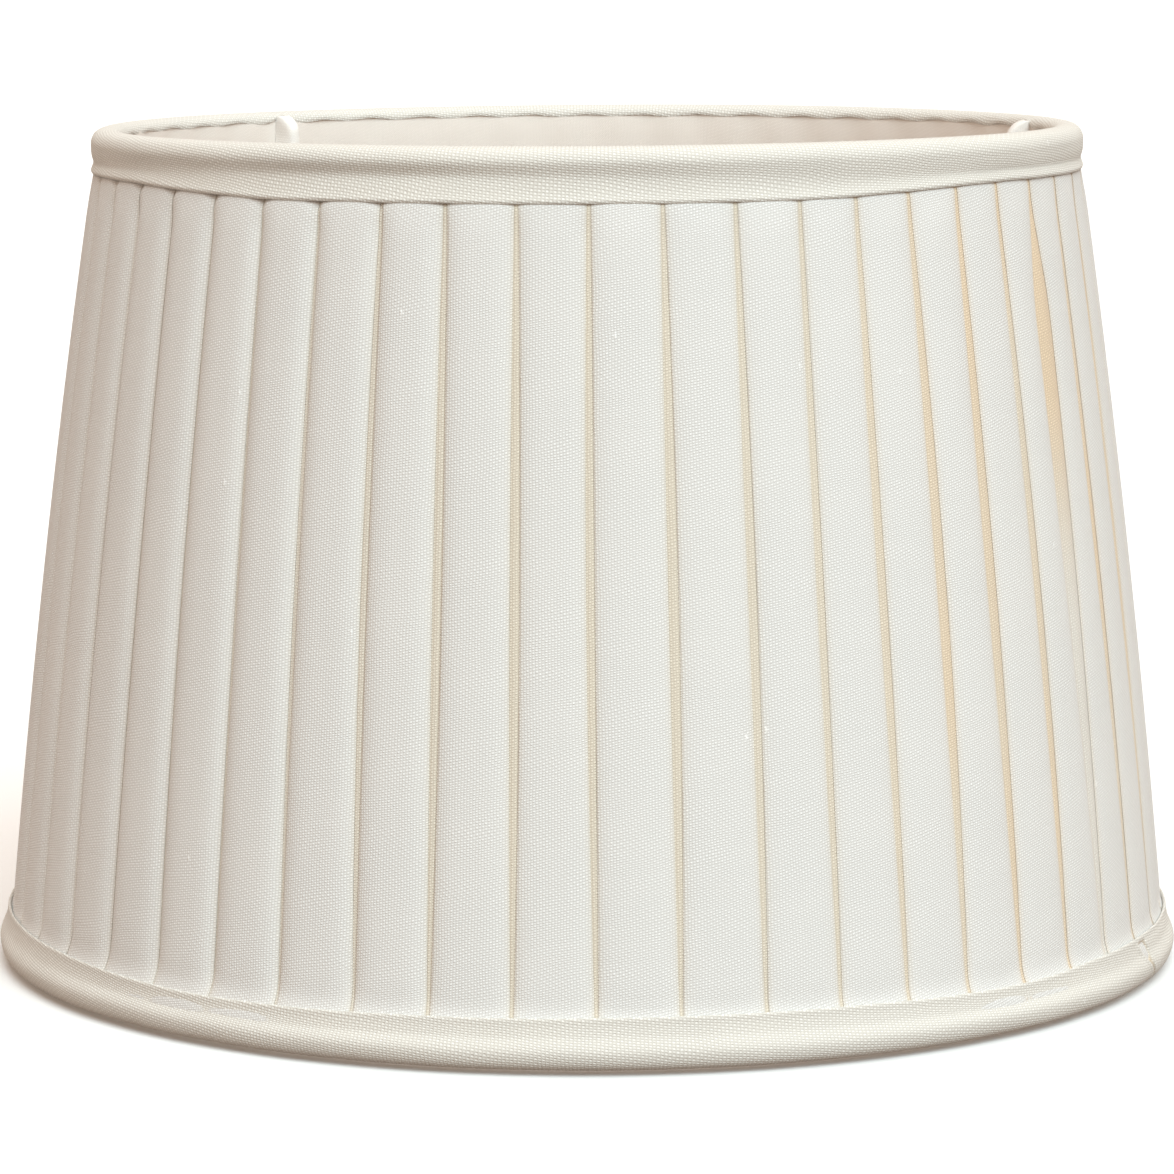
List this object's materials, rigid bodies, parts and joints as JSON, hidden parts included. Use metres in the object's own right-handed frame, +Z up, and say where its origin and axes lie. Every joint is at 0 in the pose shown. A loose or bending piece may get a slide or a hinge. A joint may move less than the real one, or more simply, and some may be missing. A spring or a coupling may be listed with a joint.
{
  "type": "lamp shade",
  "caption": "Tapered drum lamp shade with a box-pleated linen cover, bound rims, a fabric lining and a wire frame whose spider arms carry a fitter ring for a lampholder.",
  "frame": {"origin": "centre of the circle that the bottom rim stands on, at the level of that rim", "axes": "+Z up along the shade's axis; -Y towards the front, +X to the right seen from the front"},
  "size_m": [0.3002, 0.3002, 0.21],
  "materials": {
    "cover_linen": "plain-weave off-white linen, matt, laid in flat box pleats",
    "binding_tape": "creamy white linen tape, matt, folded edges",
    "lining_cotton": "soft brushed cotton lining, matt, warm white",
    "wrap_cotton": "narrow cotton tape, matt",
    "coated_wire": "white powder coat, satin",
    "coated_steel": "white powder coat on pressed steel, satin"
  },
  "bodies": {
    "root": {"pleated_cover": "cover_linen", "lining": "lining_cotton", "top_binding": "binding_tape", "bottom_binding": "binding_tape", "top_ring": "coated_wire", "bottom_ring": "coated_wire", "top_ring_wrap": "wrap_cotton", "bottom_ring_wrap": "wrap_cotton", "fitter_ring": "coated_steel", "strut_1": "coated_wire", "strut_2": "coated_wire", "strut_3": "coated_wire", "strut_4": "coated_wire", "strut_5": "coated_wire", "strut_6": "coated_wire", "spider_arm_1": "coated_wire", "spider_arm_2": "coated_wire", "spider_arm_3": "coated_wire", "arm_neatener_1": "lining_cotton", "arm_neatener_2": "lining_cotton", "arm_neatener_3": "lining_cotton"}
  },
  "joints": []
}
